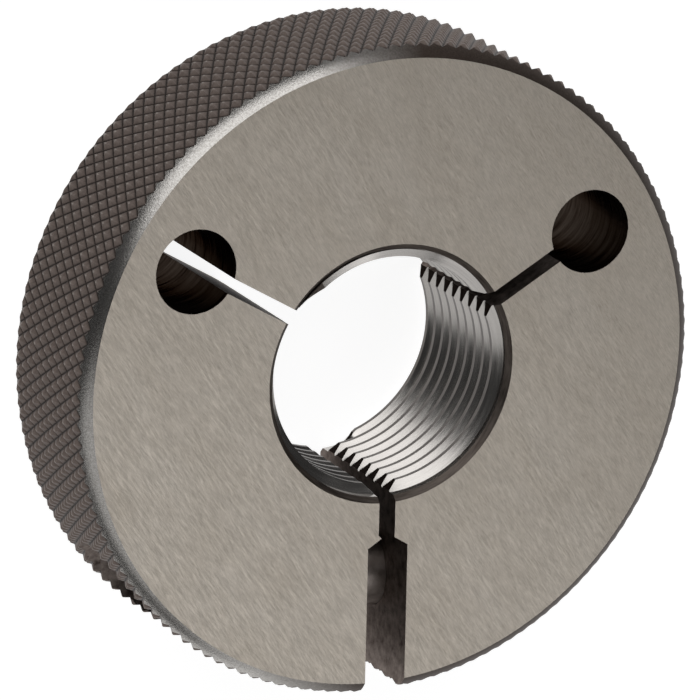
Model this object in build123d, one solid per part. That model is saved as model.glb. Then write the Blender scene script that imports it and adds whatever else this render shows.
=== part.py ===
from build123d import *
import math
import os

# Adjustable thread ring gauge, millimetres.
#
# The frame stands on the thread axis: +Z runs along the bore, the origin is where the axis
# meets the lower face, the adjusting slot runs out along -Y, and the lock screw lies along X.
#
# Pieces
#   ring_body        hardened ring, knurled round the rim, with three slots and the cross hole
#   sleeve           plain bush across the slot, seated on a step in the left half
#   adjusting_screw  hollow screw in the right half, which bears on the end of the sleeve
#   locking_screw    headed screw from the left, through the sleeve, into the adjusting screw

INCH = 25.4

# ---- driving dimensions --------------------------------------------------------------------

# Ring blank
ring_diameter = 2.625 * INCH
ring_thickness = 0.6875 * INCH
rim_chamfer = 1.37

# Diamond knurl on the rim: pyramids in rows, each row half a pitch round from the next. The
# angle is the grooves' slant from the bore axis. One crossing of the grooves lies at the first
# angle and the row height.
knurl_pitch = 1.496
knurl_angle = 31.2
knurl_depth = 0.42
knurl_first_angle = 0.343
knurl_row_height = 15.53

# Threaded bore: 1 in nominal, left at the minor diameter, countersunk at both faces
thread_minor_diameter = 23.2
countersink_diameter = 26.5

# Relief slots: each runs from the bore to a round hole. A shift moves the slot's centre line
# clockwise of the line through the axis, as seen from above.
relief_hole_diameter = 8.5
relief_hole_radius = 24.8
relief_slot_width = 1.57
right_hole_angle = 30.0
right_slot_angle = 30.0
right_slot_shift = 0.0
left_hole_angle = 149.1
left_slot_angle = 149.6
left_slot_shift = 0.52

# Adjusting slot: a narrow cut near the bore, a neck, then a wide cut with a V shoulder
narrow_slot_width = 1.76
narrow_slot_shift = -0.15
narrow_slot_end = 16.57
neck_width = 1.42
neck_radius = 16.92
shoulder_angle = 116.0
wide_slot_width = 4.34

# Cross hole for the locking device
lock_axis_radius = 22.7
sleeve_diameter = 8.0
sleeve_fit = 0.05
sleeve_length = 16.0
left_seat_depth = 6.8
left_web = 4.0

# Adjusting screw, threaded into the right half
adjusting_diameter = 11.1
adjusting_length = 9.0
adjusting_thread_fit = 0.03
sleeve_stand_out = 1.0
driver_slot_width = 1.6
driver_slot_depth = 1.8

# Locking screw, threaded into the adjusting screw
locking_diameter = 4.83
locking_clearance = 0.15
locking_thread_fit = 0.03
locking_engagement = 6.4
locking_head_diameter = 9.5
locking_head_height = 4.2
head_counterbore_diameter = 11.5

# Broken edges of the small pieces
small_chamfer = 0.35

# ---- derived sizes -------------------------------------------------------------------------

ring_radius = ring_diameter / 2
middle = ring_thickness / 2
bore_radius = thread_minor_diameter / 2
countersink_depth = (countersink_diameter - thread_minor_diameter) / 2
wide_half = wide_slot_width / 2
neck_half = neck_width / 2
shoulder_end = neck_radius + (wide_half - neck_half) / math.tan(math.radians(shoulder_angle / 2))
past = ring_diameter

# The knurl's pitch is set to a whole number of teeth
knurl_teeth = round(math.pi * ring_diameter / knurl_pitch)
knurl_row_step = math.pi * ring_radius / knurl_teeth / math.tan(math.radians(knurl_angle))
knurl_rows_below = math.ceil(knurl_row_height / knurl_row_step) + 1
knurl_rows_above = math.ceil((ring_thickness - knurl_row_height) / knurl_row_step) + 1
columns = range(2 * knurl_teeth)

# Stations along X on the lock axis, from the left to the right
seat_x = -wide_half - left_seat_depth
head_seat_x = seat_x - left_web
head_end_x = head_seat_x - locking_head_height
sleeve_end_x = seat_x + sleeve_length
adjusting_floor_x = sleeve_end_x - sleeve_stand_out
adjusting_end_x = sleeve_end_x + adjusting_length
locking_tip_x = sleeve_end_x + locking_engagement

sleeve_hole_diameter = sleeve_diameter + 2 * sleeve_fit
adjusting_hole_diameter = adjusting_diameter + 2 * adjusting_thread_fit
screw_way_diameter = locking_diameter + 2 * locking_clearance
tapped_diameter = locking_diameter + 2 * locking_thread_fit


# ---- helpers -------------------------------------------------------------------------------

def rod_along_x(diameter, start_x, end_x):
    """A round bar on the lock axis between two stations."""
    plane = Plane(origin=(start_x, -lock_axis_radius, middle), x_dir=(0, 1, 0), z_dir=(1, 0, 0))
    return extrude(plane * Circle(diameter / 2), end_x - start_x)


def through_cut(face):
    """A sketch on the lower face carried up through the whole ring."""
    return extrude(face, ring_thickness)


def driver_slot(end_x, inward):
    """The screwdriver slot across the end of a screw, cut inward along X."""
    centre_x = end_x + inward * driver_slot_depth / 2
    slot = Box(driver_slot_depth, head_counterbore_diameter + 1, driver_slot_width)
    return Pos(centre_x, -lock_axis_radius, middle) * slot


# ---- pieces --------------------------------------------------------------------------------

def on_column(radius, column, height):
    """A point on one of the knurl's columns, of which there are two to a tooth."""
    angle = math.radians(knurl_first_angle) + math.pi * column / knurl_teeth
    return (radius * math.cos(angle), radius * math.sin(angle), height)


def facet(*corners):
    return Face(Wire.make_polygon(corners, close=True))


def closed_bar(facets, low_end, high_end):
    """The solid inside a band of facets, closed by a flat polygon at each end."""
    return Solid(Shell([*facets, facet(*low_end), facet(*high_end)]))


def knurl_tip(column, row):
    """Whether a pyramid's tip is here, and not a crossing of the grooves."""
    return (column + row) % 2 == 1


def knurl_point(column, row):
    radius = ring_radius if knurl_tip(column, row) else ring_radius - knurl_depth
    return on_column(radius, column, knurl_row_height + knurl_row_step * row)


def knurl_facets(column, row):
    """The two facets above a point and beside it, which meet in the bottom of a groove."""
    here = knurl_point(column, row)
    beside = knurl_point(column + 1, row)
    above = knurl_point(column, row + 1)
    across = knurl_point(column + 1, row + 1)
    if knurl_tip(column, row):
        return [facet(here, beside, above), facet(beside, across, above)]
    return [facet(here, beside, across), facet(here, across, above)]


def knurled_bar():
    """A solid bar with the knurl round it, longer than the ring is thick."""
    rows = range(-knurl_rows_below, knurl_rows_above)
    facets = [face for row in rows for column in columns for face in knurl_facets(column, row)]
    ends = [[knurl_point(column, row) for column in columns] for row in (rows.start, rows.stop)]
    return closed_bar(facets, *ends)


def chamfered_bar():
    """A bar as thick as the ring, with its chamfers, and with its side outside the knurl.

    It has one flat to each column of the knurl, so that flats cut flats."""
    outside = ring_radius + knurl_depth
    slope = rim_chamfer + knurl_depth
    section = [
        (ring_radius - rim_chamfer, 0),
        (outside, slope),
        (outside, ring_thickness - slope),
        (ring_radius - rim_chamfer, ring_thickness),
    ]
    rings = [[on_column(radius, column, height) for column in columns] for radius, height in section]
    facets = []
    for low, high in zip(rings, rings[1:]):
        for column in columns:
            before = column - 1
            facets.append(facet(low[before], low[column], high[column], high[before]))
    return closed_bar(facets, rings[0], rings[-1])


def countersunk_bore():
    """The bore and its countersinks, as the solid to cut away."""
    section = Polyline(
        (0, 0),
        (countersink_diameter / 2, 0),
        (bore_radius, countersink_depth),
        (bore_radius, ring_thickness - countersink_depth),
        (countersink_diameter / 2, ring_thickness),
        (0, ring_thickness),
        close=True,
    )
    return revolve(Plane.XZ * make_face(section), Axis.Z)


def relief_cut(hole_angle, slot_angle, slot_shift):
    """A relief slot from inside the bore to its round hole, and the hole."""
    hole_at = Rot(0, 0, hole_angle) * Pos(relief_hole_radius, 0)
    hole = through_cut(hole_at * Circle(relief_hole_diameter / 2))
    slot_at = Rot(0, 0, slot_angle) * Pos(relief_hole_radius / 2, -slot_shift)
    slot = through_cut(slot_at * Rectangle(relief_hole_radius, relief_slot_width))
    return hole + slot


def adjusting_slot():
    """The full slot to the rim: narrow cut, bevelled neck, V shoulder and wide cut."""
    left = narrow_slot_shift - narrow_slot_width / 2
    right = narrow_slot_shift + narrow_slot_width / 2
    outline = Polyline(
        (left, 0),
        (left, -narrow_slot_end),
        (-neck_half, -neck_radius),
        (-wide_half, -shoulder_end),
        (-wide_half, -past),
        (wide_half, -past),
        (wide_half, -shoulder_end),
        (neck_half, -neck_radius),
        (right, -narrow_slot_end),
        (right, 0),
        close=True,
    )
    return through_cut(make_face(outline))


def cross_hole():
    """The stepped hole for the locking device, from rim to rim."""
    cut = rod_along_x(head_counterbore_diameter, -past, head_seat_x)
    cut += rod_along_x(screw_way_diameter, head_seat_x - 1, seat_x + 1)
    cut += rod_along_x(sleeve_hole_diameter, seat_x, adjusting_floor_x + 1)
    cut += rod_along_x(adjusting_hole_diameter, adjusting_floor_x, past)
    return cut


def make_ring_body():
    body = (knurled_bar() & chamfered_bar()) - countersunk_bore()
    body -= relief_cut(right_hole_angle, right_slot_angle, right_slot_shift)
    body -= relief_cut(left_hole_angle, left_slot_angle, left_slot_shift)
    body -= adjusting_slot()
    body -= cross_hole()
    return body


def make_sleeve():
    outer = rod_along_x(sleeve_diameter, seat_x, sleeve_end_x)
    rims = outer.edges().filter_by(GeomType.CIRCLE)
    return chamfer(rims, small_chamfer) - rod_along_x(screw_way_diameter, seat_x, sleeve_end_x)


def make_adjusting_screw():
    outer = rod_along_x(adjusting_diameter, sleeve_end_x, adjusting_end_x)
    rims = outer.edges().filter_by(GeomType.CIRCLE)
    screw = chamfer(rims, small_chamfer)
    screw -= rod_along_x(tapped_diameter, sleeve_end_x, adjusting_end_x)
    return screw - driver_slot(adjusting_end_x, -1)


def make_locking_screw():
    head = rod_along_x(locking_head_diameter, head_end_x, head_seat_x)
    head = chamfer(head.edges().filter_by(GeomType.CIRCLE), small_chamfer)
    shank = rod_along_x(locking_diameter, head_seat_x, locking_tip_x)
    tip = shank.edges().filter_by(GeomType.CIRCLE).sort_by(Axis.X)[-1]
    return head + chamfer(tip, small_chamfer) - driver_slot(head_end_x, 1)


PIECES = {
    "ring_body": make_ring_body,
    "sleeve": make_sleeve,
    "adjusting_screw": make_adjusting_screw,
    "locking_screw": make_locking_screw,
}


def main():
    os.makedirs("parts", exist_ok=True)
    for name, make in PIECES.items():
        export_step(make(), f"parts/{name}.step")


main()
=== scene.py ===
import math

import bpy
import numpy as np
from mathutils import Matrix, Vector

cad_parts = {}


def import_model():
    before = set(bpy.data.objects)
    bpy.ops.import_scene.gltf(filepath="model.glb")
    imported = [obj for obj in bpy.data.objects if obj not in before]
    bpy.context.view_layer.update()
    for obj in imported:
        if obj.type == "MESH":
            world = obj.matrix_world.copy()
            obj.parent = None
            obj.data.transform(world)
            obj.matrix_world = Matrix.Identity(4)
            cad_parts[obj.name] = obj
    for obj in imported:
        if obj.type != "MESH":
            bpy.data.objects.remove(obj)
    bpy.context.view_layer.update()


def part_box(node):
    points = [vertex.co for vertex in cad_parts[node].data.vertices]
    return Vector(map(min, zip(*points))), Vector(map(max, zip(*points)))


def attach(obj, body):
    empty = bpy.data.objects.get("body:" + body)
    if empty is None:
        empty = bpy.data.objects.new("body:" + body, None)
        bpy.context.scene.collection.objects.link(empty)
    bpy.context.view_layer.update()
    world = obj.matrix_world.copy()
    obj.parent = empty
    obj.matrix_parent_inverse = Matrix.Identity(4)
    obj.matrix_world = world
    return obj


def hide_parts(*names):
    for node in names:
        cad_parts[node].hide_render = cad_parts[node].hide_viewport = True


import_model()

# The dressed thread ring gauge. It stands as the frame does: +Z along the bore, the lower face at
# Z 0, the adjusting slot along -Y and the locking device along X. Sizes are in millimetres, and
# every mesh is written in metres.
#
# Pieces
#   ring                    a knurled cylinder inside a chamfered disc, less the screw thread,
#                           the slots and the holes
#   sleeve_bush             plain bush across the adjusting slot
#   adjusting_screw_turned  hollow screw that bears on the end of the bush
#   locking_screw_turned    headed screw through the bush, into the adjusting screw

MM = 0.001

# ---- sizes ---------------------------------------------------------------------------------

_, ring_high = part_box("ring_body")
RING_RADIUS = ring_high[0] / MM
THICKNESS = ring_high[2] / MM
MIDDLE = THICKNESS / 2
RIM_CHAMFER = 1.37
CHAMFER_BULGE = 0.09

# Thread, 1 in with 14 turns to the inch, right-hand. The crest passes the crest angle at the
# crest height. From each end height outward the ridge sinks into the root, over the fade's
# degrees of a turn.
PITCH = 25.4 / 14
MAJOR_RADIUS = 12.7
MINOR_RADIUS = 11.75
FLANK_ANGLE = 30.0
ROOT_FLAT = PITCH / 8
CREST_ANGLE = -65.0
CREST_HEIGHT = 15.40
RIDGE_HIGH_END = 16.37
RIDGE_HIGH_FADE = 16.0
RIDGE_LOW_END = 0.86
RIDGE_LOW_FADE = 6.0

# Countersink at both faces, down to the thread's root
COUNTERSINK_RADIUS = 13.25
COUNTERSINK_DEPTH = 0.63

# Diamond knurl: two crossing families of grooves. Its crests stay just inside the CAD box.
KNURL_RADIUS = RING_RADIUS - 0.01
KNURL_TEETH = 140
KNURL_ANGLE = 31.2
KNURL_DEPTH = 0.42
KNURL_FLAT = 0.12
KNURL_FIRST_ANGLE = 0.343
KNURL_ROW_HEIGHT = 15.53

# Relief slots and holes, as the hole's angle, the slot's angle and the slot's shift clockwise
RELIEF_HOLE_RADIUS = 4.25
RELIEF_CENTRE = 24.8
RELIEF_SLOT_WIDTH = 1.57
RIGHT_RELIEF = (30.0, 30.0, 0.0)
LEFT_RELIEF = (149.1, 149.6, 0.52)

# Bevels at the mouths of the three slots, from this radius inward
MOUTH_RADIUS = 12.5
MOUTH_DEPTH = 1.5

# Adjusting slot
NARROW_WIDTH = 1.76
NARROW_SHIFT = -0.15
NARROW_END = 16.57
NECK_WIDTH = 1.42
NECK_RADIUS = 16.92
SHOULDER_ANGLE = 116.0
WIDE_WIDTH = 4.34

# Locking device, along X at the middle of the thickness
LOCK_AXIS_Y = -22.7
SLEEVE_RADIUS = 4.0
SLEEVE_HOLE_RADIUS = 4.05
SCREW_WAY_RADIUS = 2.565
TAPPED_RADIUS = 2.445
ADJUSTING_RADIUS = 5.55
ADJUSTING_HOLE_RADIUS = 5.58
LOCKING_RADIUS = 2.415
HEAD_RADIUS = 4.75
HEAD_HEIGHT = 4.2
COUNTERBORE_RADIUS = 5.75
DRIVER_SLOT_WIDTH = 1.6
DRIVER_SLOT_DEPTH = 1.8
SMALL_CHAMFER = 0.35
SLEEVE_STAND_OUT = 1.0

# How far a cutter reaches past what it cuts
PAST = 2.0

# Steps round the turned shapes and along the curves
THREAD_STEPS = 180
DISC_STEPS = 420
COUNTERSINK_STEPS = 240
PIECE_STEPS = 128
HOLE_STEPS = 96
SCREW_WAY_STEPS = 64
CHAMFER_STEPS = 6

# The sharpest turn between two faces that is still shaded as a curve
SMOOTH_ANGLE = 32.0


def span_x(node):
    """Lowest and highest X of a CAD node, in millimetres."""
    low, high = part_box(node)
    return low[0] / MM, high[0] / MM


SEAT_X, SLEEVE_END_X = span_x("sleeve")
ADJUSTING_END_X = span_x("adjusting_screw")[1]
HEAD_END_X, TIP_X = span_x("locking_screw")
HEAD_SEAT_X = HEAD_END_X + HEAD_HEIGHT


# ---- mesh helpers --------------------------------------------------------------------------

def mesh_object(name, points, faces):
    """A mesh object from points in millimetres."""
    mesh = bpy.data.meshes.new(name)
    mesh.from_pydata((np.asarray(points, float) * MM).tolist(), [], faces)
    mesh.update()
    obj = bpy.data.objects.new(name, mesh)
    bpy.context.scene.collection.objects.link(obj)
    return obj


def polar(radius, degrees):
    """X and Y of the point at this radius and angle."""
    angle = math.radians(degrees)
    return radius * math.cos(angle), radius * math.sin(angle)


def turned(name, profile, steps):
    """A solid of revolution about Z. The profile runs from axis to axis, as (radius, z)."""
    points = [(0, 0, profile[0][1])]
    rows = []
    for radius, z in profile[1:-1]:
        rows.append(len(points))
        points += [(*polar(radius, 360 * i / steps), z) for i in range(steps)]
    last = len(points)
    points.append((0, 0, profile[-1][1]))
    faces = []
    for i in range(steps):
        j = (i + 1) % steps
        faces.append((0, rows[0] + j, rows[0] + i))
        faces.append((last, rows[-1] + i, rows[-1] + j))
        for low, high in zip(rows, rows[1:]):
            faces.append((low + i, low + j, high + j, high + i))
    return mesh_object(name, points, faces)


def turned_ring(name, section, steps):
    """A ring about Z with a closed section, as (radius, z) counterclockwise."""
    points = [(*polar(radius, 360 * i / steps), z) for radius, z in section for i in range(steps)]
    faces = []
    for k in range(len(section)):
        low, high = k * steps, (k + 1) % len(section) * steps
        for i in range(steps):
            j = (i + 1) % steps
            faces.append((low + i, low + j, high + j, high + i))
    return mesh_object(name, points, faces)


def prism(name, outline, low=-PAST, high=THICKNESS + PAST):
    """A flat outline carried up along Z, through the whole ring unless told otherwise."""
    count = len(outline)
    points = [(x, y, low) for x, y in outline] + [(x, y, high) for x, y in outline]
    faces = [tuple(reversed(range(count))), tuple(range(count, 2 * count))]
    for i in range(count):
        j = (i + 1) % count
        faces.append((i, j, count + j, count + i))
    return mesh_object(name, points, faces)


def closed_by_fans(name, points, faces):
    """A solid from a band round Z, with each open end closed by a fan about the axis."""
    open_edges = {}
    for face in faces:
        for a, b in zip(face, face[1:] + face[:1]):
            if (b, a) in open_edges:
                del open_edges[(b, a)]
            else:
                open_edges[(a, b)] = True
    points = np.asarray(points, float)
    low, high = len(points), len(points) + 1
    points = np.vstack([points, (0, 0, points[:, 2].min()), (0, 0, points[:, 2].max())])
    for a, b in open_edges:
        faces.append((b, a, low if points[a][2] < MIDDLE else high))
    return mesh_object(name, points, faces)


def boolean(obj, tool, operation="DIFFERENCE"):
    """Applies a boolean with the tool and removes the tool."""
    step = obj.modifiers.new(operation.title(), "BOOLEAN")
    step.operation = operation
    step.solver = "MANIFOLD"
    step.object = tool
    result = obj.evaluated_get(bpy.context.evaluated_depsgraph_get())
    mesh = bpy.data.meshes.new_from_object(result)
    obj.modifiers.clear()
    old = obj.data
    obj.data = mesh
    bpy.data.meshes.remove(old)
    bpy.data.meshes.remove(tool.data)


def lay_along_x(obj):
    """Turns a piece made about Z so that it lies on the lock axis, with +Z become +X."""
    turn = Matrix(((0, 0, 1), (0, 1, 0), (-1, 0, 0))).to_4x4()
    place = Matrix.Translation((0, LOCK_AXIS_Y * MM, MIDDLE * MM))
    obj.data.transform(place @ turn)
    return obj


def smooth(obj):
    """Shades the curves smooth and leaves the edges between them hard."""
    obj.data.shade_smooth()
    obj.data.set_sharp_from_angle(angle=math.radians(SMOOTH_ANGLE))


# ---- ring ----------------------------------------------------------------------------------

def knurled_cylinder():
    """A solid cylinder with a diamond knurl, longer than the ring is thick.

    The lattice has one coordinate across each family of grooves, u and v. A point lies at the
    angle pi (u + v) / teeth and at the height row step (u - v) from a crossing, so both
    families close.
    """
    row_step = math.pi * RING_RADIUS / KNURL_TEETH / math.tan(math.radians(KNURL_ANGLE))
    flat = KNURL_FLAT / 2
    stops = np.array([0.0, 0.5 - flat, 0.5 + flat])
    depths = np.array([KNURL_DEPTH, 0.0, 0.0])
    per_cell = len(stops)
    around = KNURL_TEETH * per_cell
    below = math.ceil((KNURL_ROW_HEIGHT + PAST) / row_step) * per_cell
    above = math.ceil((THICKNESS - KNURL_ROW_HEIGHT + PAST) / row_step) * per_cell
    rows = below + above + 1

    def lattice(index):
        cell, part = np.divmod(index, per_cell)
        return cell + stops[part], depths[part]

    first = np.arange(around)[:, None]
    second = first - np.arange(-below, above + 1)[None, :]
    u, depth_u = lattice(first)
    v, depth_v = lattice(second)
    angle = math.pi * (u + v) / KNURL_TEETH + math.radians(KNURL_FIRST_ANGLE)
    height = KNURL_ROW_HEIGHT + row_step * (u - v)
    radius = KNURL_RADIUS - np.maximum(depth_u, depth_v)
    points = np.stack([radius * np.cos(angle), radius * np.sin(angle), height], -1).reshape(-1, 3)

    # Each cell is split along its higher diagonal
    faces = []
    for i in range(around):
        j = (i + 1) % around
        for w in range(1, rows - 1):
            a, b = i * rows + w, j * rows + w + 1
            c, d = j * rows + w, i * rows + w - 1
            if radius[i, w] + radius[j, w] > radius[j, w + 1] + radius[i, w - 1]:
                faces += [(a, c, b), (a, d, c)]
            else:
                faces += [(a, d, b), (d, c, b)]
    return closed_by_fans("ring", points, faces)


def chamfered_disc():
    """The disc that trims the knurl. Its 45 degree chamfers bulge out along a parabola."""
    bulge = []
    for i in range(CHAMFER_STEPS + 1):
        t = i / CHAMFER_STEPS
        out = CHAMFER_BULGE * 4 * t * (1 - t) * math.sqrt(0.5)
        bulge.append((RING_RADIUS - RIM_CHAMFER * (1 - t) + out, RIM_CHAMFER * t - out))
    outer = RING_RADIUS + PAST
    rise = RIM_CHAMFER + PAST
    top = [(radius, THICKNESS - z) for radius, z in reversed(bulge)]
    edge = [(outer, rise), (outer, THICKNESS - rise)]
    return turned("disc", [(0, 0), *bulge, *edge, *top, (0, THICKNESS)], DISC_STEPS)


def ridge_height(lift):
    """How much of the ridge stands where its crest is at this height, from 0 to 1."""
    past_high = (lift - RIDGE_HIGH_END) / PITCH * 360 / RIDGE_HIGH_FADE
    past_low = (RIDGE_LOW_END - lift) / PITCH * 360 / RIDGE_LOW_FADE
    return min(max(1 - max(past_high, past_low), 0.0), 1.0)


def thread_plug():
    """The shape of the bore's thread as a solid, with four stops across each turn."""
    flank = (MAJOR_RADIUS - MINOR_RADIUS) * math.tan(math.radians(FLANK_ANGLE))
    crest_flat = PITCH - ROOT_FLAT - 2 * flank
    stops = [
        (-crest_flat / 2, MINOR_RADIUS),
        (crest_flat / 2, MINOR_RADIUS),
        (crest_flat / 2 + flank, MAJOR_RADIUS),
        (crest_flat / 2 + flank + ROOT_FLAT, MAJOR_RADIUS),
    ]
    per_turn = len(stops)
    turns_above = 2
    turns = int(THICKNESS / PITCH) + 3 + turns_above
    start = CREST_HEIGHT - PITCH * (turns - turns_above)
    total = turns * THREAD_STEPS
    points = []
    for m in range(total):
        angle = CREST_ANGLE + 360 * m / THREAD_STEPS
        lift = start + PITCH * m / THREAD_STEPS
        ridge = ridge_height(lift)
        for dz, radius in stops:
            depth = (MAJOR_RADIUS - radius) * ridge
            points.append((*polar(MAJOR_RADIUS - depth, angle), lift + dz))
    faces = []
    for m in range(total - 1):
        for p in range(per_turn - 1):
            a = m * per_turn + p
            b = a + per_turn
            faces.append((a, b, b + 1, a + 1))
        if m + 1 < total - THREAD_STEPS:
            a = m * per_turn + per_turn - 1
            b = a + per_turn
            up = (m + THREAD_STEPS) * per_turn
            faces.append((a, b, up + per_turn, up))
    return closed_by_fans("thread", points, faces)


def countersink(face_z, outward):
    """A cutter for the 45 degree countersink at one face, open inside the thread's root."""
    inner = COUNTERSINK_RADIUS - COUNTERSINK_DEPTH
    section = [
        (inner, face_z - outward * COUNTERSINK_DEPTH),
        (COUNTERSINK_RADIUS + PAST, face_z + outward * PAST),
        (inner, face_z + outward * PAST),
    ]
    if outward < 0:
        section.reverse()
    return turned_ring("countersink", section, COUNTERSINK_STEPS)


def relief_hole(angle):
    x, y = polar(RELIEF_CENTRE, angle)
    rim = [polar(RELIEF_HOLE_RADIUS, 360 * i / HOLE_STEPS) for i in range(HOLE_STEPS)]
    return prism("relief_hole", [(x + dx, y + dy) for dx, dy in rim])


def along_slot(corners, angle, shift):
    """Corners given along and across a slot's centre line, which is shifted clockwise."""
    along = Vector(polar(1, angle))
    across = Vector((-along.y, along.x))
    return [tuple(along * out + across * (side - shift)) for out, side in corners]


def relief_slot(angle, shift):
    half = RELIEF_SLOT_WIDTH / 2
    corners = [(0, -half), (RELIEF_CENTRE, -half), (RELIEF_CENTRE, half), (0, half)]
    return prism("relief_slot", along_slot(corners, angle, shift))


def slot_mouth(angle, shift, width):
    """The bevels where a slot opens into the thread, as one wedge that widens inward."""
    narrow = width / 2
    wide = narrow + MOUTH_DEPTH
    inner = MOUTH_RADIUS - MOUTH_DEPTH
    corners = [
        (MOUTH_RADIUS, narrow),
        (inner, wide),
        (inner - PAST, wide),
        (inner - PAST, -wide),
        (inner, -wide),
        (MOUTH_RADIUS, -narrow),
    ]
    return prism("slot_mouth", along_slot(corners, angle, shift))


def adjusting_slot():
    """The full slot to the rim: narrow cut, bevelled neck, V shoulder and wide cut."""
    left = NARROW_SHIFT - NARROW_WIDTH / 2
    right = NARROW_SHIFT + NARROW_WIDTH / 2
    neck, wide = NECK_WIDTH / 2, WIDE_WIDTH / 2
    shoulder = NECK_RADIUS + (wide - neck) / math.tan(math.radians(SHOULDER_ANGLE / 2))
    rim = RING_RADIUS + PAST
    return prism("adjusting_slot", [
        (left, 0),
        (left, -NARROW_END),
        (-neck, -NECK_RADIUS),
        (-wide, -shoulder),
        (-wide, -rim),
        (wide, -rim),
        (wide, -shoulder),
        (neck, -NECK_RADIUS),
        (right, -NARROW_END),
        (right, 0),
    ])


def cross_hole():
    """The stepped hole for the locking device, as one turned cutter."""
    floor = SLEEVE_END_X - SLEEVE_STAND_OUT
    rim = RING_RADIUS + PAST
    return lay_along_x(turned("cross_hole", [
        (0, -rim),
        (COUNTERBORE_RADIUS, -rim),
        (COUNTERBORE_RADIUS, HEAD_SEAT_X),
        (SCREW_WAY_RADIUS, HEAD_SEAT_X),
        (SCREW_WAY_RADIUS, SEAT_X),
        (SLEEVE_HOLE_RADIUS, SEAT_X),
        (SLEEVE_HOLE_RADIUS, floor),
        (ADJUSTING_HOLE_RADIUS, floor),
        (ADJUSTING_HOLE_RADIUS, rim),
        (0, rim),
    ], HOLE_STEPS))


def ring_solid():
    """The ring with its thread, countersinks, slots and holes cut out of it."""
    ring = knurled_cylinder()
    boolean(ring, chamfered_disc(), "INTERSECT")
    boolean(ring, thread_plug())
    boolean(ring, countersink(THICKNESS, 1))
    boolean(ring, countersink(0, -1))
    for hole_angle, slot_angle, shift in (RIGHT_RELIEF, LEFT_RELIEF):
        boolean(ring, relief_slot(slot_angle, shift))
        boolean(ring, relief_hole(hole_angle))
        boolean(ring, slot_mouth(slot_angle, shift, RELIEF_SLOT_WIDTH))
    boolean(ring, adjusting_slot())
    boolean(ring, slot_mouth(-90, -NARROW_SHIFT, NARROW_WIDTH))
    boolean(ring, cross_hole())
    smooth(ring)
    return ring


# ---- locking device ------------------------------------------------------------------------

def driver_slot(end_x, inward):
    """Cutter for a screwdriver slot across the end of a piece on the lock axis."""
    half = DRIVER_SLOT_WIDTH / 2
    wide = HEAD_RADIUS + PAST
    outline = [(-half, -wide), (half, -wide), (half, wide), (-half, wide)]
    low, high = sorted((end_x - inward * PAST, end_x + inward * DRIVER_SLOT_DEPTH))
    return lay_along_x(prism("driver_slot", outline, low, high))


def bore_cutter(radius, low, high):
    """Cutter for a hole on the lock axis through a piece between two stations."""
    low, high = low - PAST, high + PAST
    profile = [(0, low), (radius, low), (radius, high), (0, high)]
    return lay_along_x(turned("bore", profile, SCREW_WAY_STEPS))


def chamfered_rod(name, radius, low, high):
    """A round bar on the lock axis between two stations, with its edges broken."""
    return lay_along_x(turned(name, [
        (0, low),
        (radius - SMALL_CHAMFER, low),
        (radius, low + SMALL_CHAMFER),
        (radius, high - SMALL_CHAMFER),
        (radius - SMALL_CHAMFER, high),
        (0, high),
    ], PIECE_STEPS))


def sleeve_solid():
    sleeve = chamfered_rod("sleeve_bush", SLEEVE_RADIUS, SEAT_X, SLEEVE_END_X)
    boolean(sleeve, bore_cutter(SCREW_WAY_RADIUS, SEAT_X, SLEEVE_END_X))
    smooth(sleeve)
    return sleeve


def adjusting_screw_solid():
    span = (SLEEVE_END_X, ADJUSTING_END_X)
    screw = chamfered_rod("adjusting_screw_turned", ADJUSTING_RADIUS, *span)
    boolean(screw, bore_cutter(TAPPED_RADIUS, *span))
    boolean(screw, driver_slot(ADJUSTING_END_X, -1))
    smooth(screw)
    return screw


def locking_screw_solid():
    screw = lay_along_x(turned("locking_screw_turned", [
        (0, HEAD_END_X),
        (HEAD_RADIUS - SMALL_CHAMFER, HEAD_END_X),
        (HEAD_RADIUS, HEAD_END_X + SMALL_CHAMFER),
        (HEAD_RADIUS, HEAD_SEAT_X - SMALL_CHAMFER),
        (HEAD_RADIUS - SMALL_CHAMFER, HEAD_SEAT_X),
        (LOCKING_RADIUS, HEAD_SEAT_X),
        (LOCKING_RADIUS, TIP_X - SMALL_CHAMFER),
        (LOCKING_RADIUS - SMALL_CHAMFER, TIP_X),
        (0, TIP_X),
    ], PIECE_STEPS))
    boolean(screw, driver_slot(HEAD_END_X, 1))
    smooth(screw)
    return screw


# ---- material helpers ----------------------------------------------------------------------

def new_material(name):
    """A bare metal, with its node tree and its shader."""
    material = bpy.data.materials.new(name)
    material.use_nodes = True
    tree = material.node_tree
    shader = tree.nodes["Principled BSDF"]
    shader.inputs["Metallic"].default_value = 1.0
    return material, tree, shader


def add(tree, kind, **settings):
    """A new node of this kind with these settings."""
    node = tree.nodes.new(kind)
    for key, value in settings.items():
        setattr(node, key, value)
    return node


def grain(tree, cells, roughness, turn=(0, 0, 0), detail=3.0):
    """Noise fixed to the object, with so many cells to the metre along each axis after the turn."""
    place = add(tree, "ShaderNodeTexCoord")
    mapping = add(tree, "ShaderNodeMapping", vector_type="TEXTURE")
    mapping.inputs["Rotation"].default_value = [math.radians(a) for a in turn]
    mapping.inputs["Scale"].default_value = [1 / count for count in cells]
    noise = add(tree, "ShaderNodeTexNoise")
    noise.inputs["Scale"].default_value = 1.0
    noise.inputs["Detail"].default_value = detail
    noise.inputs["Roughness"].default_value = roughness
    tree.links.new(place.outputs["Object"], mapping.inputs["Vector"])
    tree.links.new(mapping.outputs["Vector"], noise.inputs["Vector"])
    return noise.outputs["Fac"]


def ramp(tree, value, stops):
    """A colour for each value, from stops as (value, colour)."""
    node = add(tree, "ShaderNodeValToRGB")
    tree.links.new(value, node.inputs["Fac"])
    elements = node.color_ramp.elements
    while len(elements) < len(stops):
        elements.new(0.5)
    for element, (position, color) in zip(elements, stops):
        element.position = position
        element.color = (*color, 1)
    return node.outputs["Color"]


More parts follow.
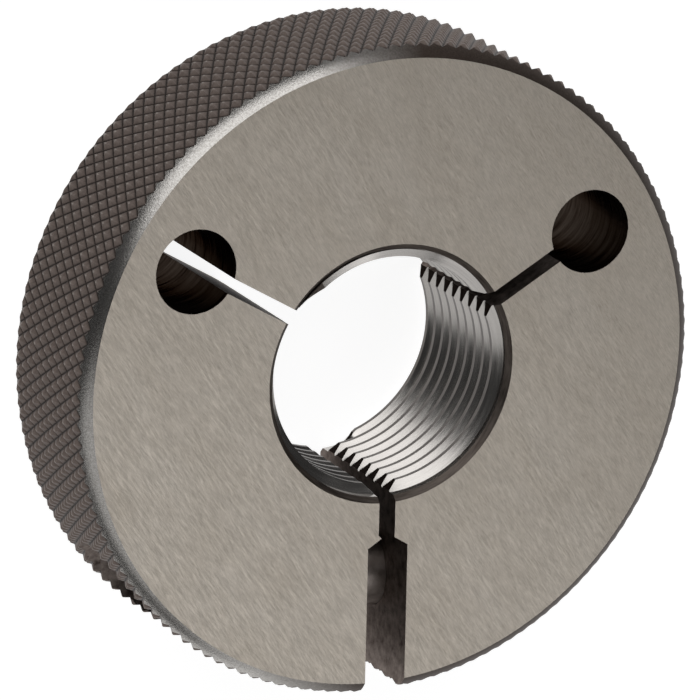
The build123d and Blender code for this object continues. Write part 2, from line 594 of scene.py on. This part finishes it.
def spread(tree, value, low, high, start=0.3, end=0.7):
    """Maps the values from start to end onto the range from low to high."""
    node = add(tree, "ShaderNodeMapRange")
    node.inputs["From Min"].default_value = start
    node.inputs["From Max"].default_value = end
    node.inputs["To Min"].default_value = low
    node.inputs["To Max"].default_value = high
    tree.links.new(value, node.inputs["Value"])
    return node.outputs["Result"]


# The Mix node's sockets for colours
MIX_FIRST, MIX_SECOND, MIX_RESULT = 6, 7, 2


def multiplied(tree, first, second):
    """The product of two colours."""
    node = add(tree, "ShaderNodeMix", data_type="RGBA", blend_type="MULTIPLY")
    node.inputs["Factor"].default_value = 1.0
    tree.links.new(first, node.inputs[MIX_FIRST])
    tree.links.new(second, node.inputs[MIX_SECOND])
    return node.outputs[MIX_RESULT]


def bump(tree, shader, value, depth_mm, strength):
    """Fine relief that follows a value."""
    node = add(tree, "ShaderNodeBump")
    node.inputs["Strength"].default_value = strength
    node.inputs["Distance"].default_value = depth_mm * MM
    tree.links.new(value, node.inputs["Height"])
    tree.links.new(node.outputs["Normal"], shader.inputs["Normal"])


def from_axis(tree):
    """The distance from the bore's axis, in millimetres."""
    place = add(tree, "ShaderNodeTexCoord")
    flat = add(tree, "ShaderNodeVectorMath", operation="MULTIPLY")
    flat.inputs[1].default_value = (1 / MM, 1 / MM, 0)
    length = add(tree, "ShaderNodeVectorMath", operation="LENGTH")
    tree.links.new(place.outputs["Object"], flat.inputs[0])
    tree.links.new(flat.outputs["Vector"], length.inputs[0])
    return length.outputs["Value"]


def toward(tree, degrees):
    """How far a point lies out in one direction, as a share of the ring's radius."""
    place = add(tree, "ShaderNodeTexCoord")
    along = add(tree, "ShaderNodeVectorMath", operation="DOT_PRODUCT")
    along.inputs[1].default_value = (*polar(1 / (RING_RADIUS * MM), degrees), 0)
    tree.links.new(place.outputs["Object"], along.inputs[0])
    return along.outputs["Value"]


# ---- materials -----------------------------------------------------------------------------

# The turn about Z of the grinding scratches, and the side toward which the rim chamfer keeps its
# bright steel colour; away from it the colour is painted dark, as painted shade
GRIND_TURN = (0, 0, -56.5)
CHAMFER_LIGHT_SIDE_ANGLE = 175.0


def ground_steel():
    """Surface-ground face: parallel scratches of two sizes over broad soft blotches."""
    material, tree, shader = new_material("ground_steel")
    fine = grain(tree, (1300, 13000, 1300), roughness=0.75, turn=GRIND_TURN)
    broad = grain(tree, (450, 3600, 450), roughness=0.6, turn=GRIND_TURN)
    cloud = grain(tree, (120, 260, 200), roughness=0.55, turn=GRIND_TURN)
    scratches = ramp(tree, fine, [(0.25, (0.36, 0.327, 0.284)), (0.75, (0.60, 0.546, 0.482))])
    bands = ramp(tree, broad, [(0.3, (0.95, 0.945, 0.94)), (0.7, (1.0, 1.0, 1.0))])
    clouds = ramp(tree, cloud, [(0.3, (0.93, 0.92, 0.905)), (0.7, (1.0, 1.0, 1.0))])
    color = multiplied(tree, multiplied(tree, scratches, bands), clouds)
    tree.links.new(color, shader.inputs["Base Color"])
    tree.links.new(spread(tree, broad, 0.36, 0.46), shader.inputs["Roughness"])
    bump(tree, shader, fine, depth_mm=0.008, strength=0.35)
    return material


def chamfer_steel():
    """The rim chamfer: brushed, bright steel on one side and painted shade on the other, darker and
    rougher.
    """
    material, tree, shader = new_material("chamfer_steel")
    speckle = grain(tree, (5000, 5000, 5000), roughness=0.7)
    light_side = toward(tree, CHAMFER_LIGHT_SIDE_ANGLE)
    # Painted shade: the colour darkens away from the bright side, and the roughness rises with it
    light_and_shade = ramp(tree, light_side, [(0.0, (0.075, 0.058, 0.049)), (0.35, (0.46, 0.445, 0.425))])
    bits = ramp(tree, speckle, [(0.35, (0.7, 0.69, 0.68)), (0.62, (1.0, 1.0, 1.0))])
    tree.links.new(multiplied(tree, light_and_shade, bits), shader.inputs["Base Color"])
    roughness = spread(tree, light_side, 0.5, 0.25, start=0.0, end=0.35)
    tree.links.new(roughness, shader.inputs["Roughness"])
    bump(tree, shader, speckle, depth_mm=0.03, strength=0.5)
    return material


def knurled_steel():
    """The knurl: darker in the grooves, partly scale and partly painted shade, and lighter on the
    tips, partly bare metal and partly a painted highlight.
    """
    material, tree, shader = new_material("knurled_steel")
    speckle = grain(tree, (2600, 2600, 2600), roughness=0.7)
    groove = RING_RADIUS - KNURL_DEPTH
    height = spread(tree, from_axis(tree), 0.0, 1.0, start=groove, end=RING_RADIUS)
    # Colour by depth: the dark grooves are painted shade over some scale, the light tips a painted
    # highlight over some bare metal
    depth = ramp(tree, height, [
        (0.02, (0.030, 0.024, 0.021)),
        (0.25, (0.155, 0.125, 0.112)),
        (0.85, (0.20, 0.166, 0.150)),
        (1.0, (0.30, 0.27, 0.25)),
    ])
    bits = ramp(tree, speckle, [(0.3, (0.55, 0.53, 0.52)), (0.7, (1.05, 1.04, 1.03))])
    tree.links.new(multiplied(tree, depth, bits), shader.inputs["Base Color"])
    tree.links.new(spread(tree, speckle, 0.5, 0.65), shader.inputs["Roughness"])
    bump(tree, shader, speckle, depth_mm=0.05, strength=0.6)
    return material


def turned_steel(name, dark, light, rough, along_z=5000, along_ring=400, tint=1.0):
    """Lathe-turned surface: fine rings about the bore, between two colours and two roughnesses.

    A tint below 1 holds back the bright reflection that bare metal has at a slant.
    """
    material, tree, shader = new_material(name)
    fine = grain(tree, (along_ring, along_ring, along_z), roughness=0.7, detail=4.0)
    tree.links.new(ramp(tree, fine, [(0.3, dark), (0.7, light)]), shader.inputs["Base Color"])
    tree.links.new(spread(tree, fine, *rough), shader.inputs["Roughness"])
    shader.inputs["Specular Tint"].default_value = (tint, tint, tint, 1)
    bump(tree, shader, fine, depth_mm=0.006, strength=0.3)
    return material


# Scale on the countersinks; the same dark colour is laid on the thread's blunt start as painted
# shade
def scale_and_shade_steel():
    return turned_steel("scale_and_shade_steel", (0.065, 0.052, 0.045), (0.19, 0.162, 0.142), (0.4, 0.6))


def lapped_steel():
    dark, light = (0.44, 0.42, 0.40), (0.58, 0.555, 0.53)
    return turned_steel("lapped_steel", dark, light, (0.15, 0.24), along_z=6000, along_ring=120)


# The thread's crests: painted shade, much darker than the lapped flanks
def crest_shade_steel():
    return turned_steel("crest_shade_steel", (0.07, 0.062, 0.057), (0.165, 0.15, 0.14), (0.3, 0.45))


def sawn_steel():
    dark, light = (0.07, 0.052, 0.045), (0.34, 0.29, 0.262)
    return turned_steel(
        "sawn_steel", dark, light, (0.38, 0.6), along_z=1300, along_ring=1000, tint=0.5)


# The relief holes' walls: near black, partly oxide and partly painted shade inside the holes
def drilled_steel():
    dark, light = (0.016, 0.012, 0.010), (0.085, 0.070, 0.060)
    return turned_steel(
        "drilled_steel", dark, light, (0.28, 0.45), along_z=2600, along_ring=160, tint=0.3)


# The bevels at the slots' mouths: near black, painted shade where the slot walls lie in shadow
def mouth_shade_steel():
    dark, light = (0.012, 0.009, 0.008), (0.035, 0.029, 0.026)
    return turned_steel("mouth_shade_steel", dark, light, (0.45, 0.6), tint=0.3)


def sleeve_steel():
    dark, light = (0.32, 0.28, 0.255), (0.46, 0.41, 0.38)
    return turned_steel("sleeve_steel", dark, light, (0.34, 0.5), along_z=1500, along_ring=700)


def black_steel():
    return turned_steel("black_steel", (0.05, 0.048, 0.046), (0.1, 0.096, 0.09), (0.3, 0.45))


# ---- finishes of the ring ------------------------------------------------------------------

GROUND, CHAMFER, KNURL, COUNTERSINK, THREAD, CREST, SLOT, DRILLED, MOUTH = range(9)
RING_FINISHES = (
    ground_steel,
    chamfer_steel,
    knurled_steel,
    scale_and_shade_steel,
    lapped_steel,
    crest_shade_steel,
    sawn_steel,
    drilled_steel,
    mouth_shade_steel,
)

# Between these angles and within a turn of the upper face, the bore has the countersink's finish,
# there as painted shade that dulls the ridge's ragged end
BLUNT_START = (127.0, 150.0)

# How far the middle of a face may lie from the surface that the face belongs to
NEAR = 0.1
CLOSE = 0.05
TOUCHING = 0.01


def face_vectors(mesh, name):
    """One vector from each face of a mesh, as rows."""
    values = np.empty(len(mesh.polygons) * 3)
    mesh.polygons.foreach_get(name, values)
    return values.reshape(-1, 3)


def face_finishes(centre, normal):
    """The finish of the surface that each face of the ring belongs to.

    out is the part of a face's normal that points away from the axis, and steep is the part
    along it. A later rule goes over an earlier one, and what no rule names is a sawn slot.
    """
    x, y, z = centre.T
    radius = np.hypot(x, y)
    out = (x * normal[:, 0] + y * normal[:, 1]) / np.maximum(radius, 1e-6)
    steep = np.abs(normal[:, 2])
    level = np.minimum(z, THICKNESS - z)
    angle = np.degrees(np.arctan2(y, x))

    flat = steep > 0.99
    on_cone = np.abs(steep - math.sqrt(0.5)) < 0.02
    turned_about_z = np.abs(out ** 2 + steep ** 2 - 1) < 1e-3
    outside = out > 0.3
    in_bore = (radius > MINOR_RADIUS - NEAR) & (radius < MAJOR_RADIUS + NEAR)
    above_root = radius < MAJOR_RADIUS - CLOSE
    blunt = (angle > BLUNT_START[0]) & (angle < BLUNT_START[1]) & (z > THICKNESS - PITCH)

    finish = np.full(len(centre), SLOT, dtype=np.int32)
    # Outside: the knurl, and the chamfers that trim it
    finish[outside & (radius > RING_RADIUS - KNURL_DEPTH - NEAR)] = KNURL
    finish[outside & turned_about_z & (steep > 0.4) & (level < RIM_CHAMFER + NEAR)] = CHAMFER
    # Bore: the flanks and roots, then the crests, the upright bevels of the slots' mouths, the
    # cones at the faces, the steps of the thread, and its blunt start
    finish[in_bore & (out < -0.4)] = THREAD
    # Faces turned to the axis above the root take the crest colour, which is painted shade
    finish[in_bore & (out < -0.6) & (steep < 0.4) & above_root] = CREST
    finish[in_bore & (out < -0.5) & (out > -0.85) & (steep < 0.002)] = MOUTH
    finish[on_cone & (out < -0.6) & (radius < COUNTERSINK_RADIUS + NEAR)] = COUNTERSINK
    finish[in_bore & flat] = THREAD
    finish[in_bore & blunt] = COUNTERSINK
    # The ground faces, and the walls of the relief holes
    finish[flat & (level < TOUCHING)] = GROUND
    for hole_angle, _, _ in (RIGHT_RELIEF, LEFT_RELIEF):
        hole_x, hole_y = polar(RELIEF_CENTRE, hole_angle)
        away = np.hypot(x - hole_x, y - hole_y)
        finish[(np.abs(away - RELIEF_HOLE_RADIUS) < CLOSE) & (steep < 0.05)] = DRILLED
    return finish


def sharpen_borders(mesh, finish):
    """Keeps a hard edge wherever two finishes meet."""
    sides = np.empty(len(mesh.polygons), dtype=np.int32)
    edge = np.empty(len(mesh.loops), dtype=np.int32)
    mesh.polygons.foreach_get("loop_total", sides)
    mesh.loops.foreach_get("edge_index", edge)
    beside = np.repeat(finish, sides)
    lowest = np.full(len(mesh.edges), len(RING_FINISHES), dtype=np.int32)
    highest = np.full(len(mesh.edges), -1, dtype=np.int32)
    np.minimum.at(lowest, edge, beside)
    np.maximum.at(highest, edge, beside)
    for index in np.nonzero(lowest != highest)[0]:
        mesh.edges[int(index)].use_edge_sharp = True


def paint_ring(ring):
    """Gives each face of the ring its finish."""
    mesh = ring.data
    mesh.materials.clear()
    for make in RING_FINISHES:
        mesh.materials.append(make())
    finish = face_finishes(face_vectors(mesh, "center") / MM, face_vectors(mesh, "normal"))
    mesh.polygons.foreach_set("material_index", finish)
    sharpen_borders(mesh, finish)
    mesh.update()


# ---- stage ---------------------------------------------------------------------------------

FLOOR_HALF_SIZE = 6000.0
FLOOR_COLOR = 0.35
FLOOR_GLOW = 0.9
WORLD_GLOW = 0.04

# The lamps, in degrees and metres: azimuth from +X, elevation, distance, size and glow. A panel
# with a glow of 1 looks white, and takes the panel power in watts to the square metre.
PANEL_POWER = 4
PANELS = {
    "key_panel": (105, 43, 0.9, (1.0, 0.6), 1.4),
    "fill_panel": (238, 36, 0.9, (1.4, 0.55), 0.55),
    "front_panel": (290, 10, 0.9, (0.9, 0.3), 0.55),
    "side_panel": (327, 14, 1.0, (0.9, 0.35), 0.6),
    "back_panel": (48, 22, 1.0, (0.6, 0.3), 0.45),
    "top_panel": (-53, 60, 1.0, (0.42, 0.42), 1.55),
}

# The photograph's camera: its place, its three axes and its lens
CAMERA_PLACE = (-287.06, 199.45, 601.67)
CAMERA_RIGHT = (0.90286, 0.02103, 0.42940)
CAMERA_UP = (0.10629, 0.95688, -0.27034)
CAMERA_BACK = (-0.41657, 0.28972, 0.86170)
CAMERA_LENS = 356.41
CAMERA_SENSOR = 36
CAMERA_CLIP = (0.01, 10)


def floor_white():
    """Diffuse, with a glow for what looks at the floor, which lights nothing."""
    material = bpy.data.materials.new("floor_white")
    material.use_nodes = True
    tree = material.node_tree
    tree.nodes.clear()
    diffuse = add(tree, "ShaderNodeBsdfDiffuse")
    diffuse.inputs["Color"].default_value = (FLOOR_COLOR, FLOOR_COLOR, FLOOR_COLOR, 1)
    path = add(tree, "ShaderNodeLightPath")
    either = add(tree, "ShaderNodeMath", operation="MAXIMUM")
    seen = add(tree, "ShaderNodeMath", operation="MAXIMUM")
    strength = add(tree, "ShaderNodeMath", operation="MULTIPLY")
    strength.inputs[1].default_value = FLOOR_GLOW
    glow = add(tree, "ShaderNodeEmission")
    total = add(tree, "ShaderNodeAddShader")
    output = add(tree, "ShaderNodeOutputMaterial")
    tree.links.new(path.outputs["Is Camera Ray"], either.inputs[0])
    tree.links.new(path.outputs["Is Glossy Ray"], either.inputs[1])
    tree.links.new(either.outputs[0], seen.inputs[0])
    tree.links.new(path.outputs["Is Transmission Ray"], seen.inputs[1])
    tree.links.new(seen.outputs[0], strength.inputs[0])
    tree.links.new(strength.outputs[0], glow.inputs["Strength"])
    tree.links.new(diffuse.outputs[0], total.inputs[0])
    tree.links.new(glow.outputs[0], total.inputs[1])
    tree.links.new(total.outputs[0], output.inputs["Surface"])
    return material


def floor():
    half = FLOOR_HALF_SIZE
    corners = [(-half, -half, 0), (half, -half, 0), (half, half, 0), (-half, half, 0)]
    obj = mesh_object("floor", corners, [(0, 1, 2, 3)])
    obj.data.materials.append(floor_white())


def world():
    """A dim even studio round the lamps."""
    scene_world = bpy.data.worlds.new("studio")
    bpy.context.scene.world = scene_world
    scene_world.use_nodes = True
    background = scene_world.node_tree.nodes["Background"]
    background.inputs["Color"].default_value = (1, 1, 1, 1)
    background.inputs["Strength"].default_value = WORLD_GLOW


def soft_lamp(name, azimuth, elevation, distance, size, glow):
    """A flat panel that looks at the ring."""
    lamp = bpy.data.lights.new(name, "AREA")
    lamp.shape = "RECTANGLE"
    lamp.size, lamp.size_y = size
    lamp.energy = PANEL_POWER * glow * lamp.size * lamp.size_y
    obj = bpy.data.objects.new(name, lamp)
    bpy.context.scene.collection.objects.link(obj)
    a, e = math.radians(azimuth), math.radians(elevation)
    way = Vector((math.cos(a) * math.cos(e), math.sin(a) * math.cos(e), math.sin(e)))
    obj.location = way * distance + Vector((0, 0, MIDDLE * MM))
    obj.rotation_euler = way.to_track_quat("Z", "Y").to_euler()


def camera():
    data = bpy.data.cameras.new("camera")
    data.sensor_width = CAMERA_SENSOR
    data.lens = CAMERA_LENS
    data.clip_start, data.clip_end = CAMERA_CLIP
    obj = bpy.data.objects.new("camera", data)
    bpy.context.scene.collection.objects.link(obj)
    axes = Matrix((CAMERA_RIGHT, CAMERA_UP, CAMERA_BACK)).transposed().to_4x4()
    obj.matrix_world = Matrix.Translation(Vector(CAMERA_PLACE) * MM) @ axes
    bpy.context.scene.camera = obj


# ---- build ---------------------------------------------------------------------------------

def painted(obj, material):
    """Gives the whole of a piece one material."""
    obj.data.materials.clear()
    obj.data.materials.append(material)
    return obj


def dress(obj, node):
    """Puts a finished piece in the place of its CAD node."""
    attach(obj, "root")
    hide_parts(node)


def main():
    bpy.context.scene.view_settings.view_transform = "Standard"
    camera()
    world()
    for name, panel in PANELS.items():
        soft_lamp(name, *panel)
    floor()

    ring = ring_solid()
    paint_ring(ring)
    dress(ring, "ring_body")

    bush, black = sleeve_steel(), black_steel()
    dress(painted(sleeve_solid(), bush), "sleeve")
    dress(painted(adjusting_screw_solid(), black), "adjusting_screw")
    dress(painted(locking_screw_solid(), black), "locking_screw")


main()
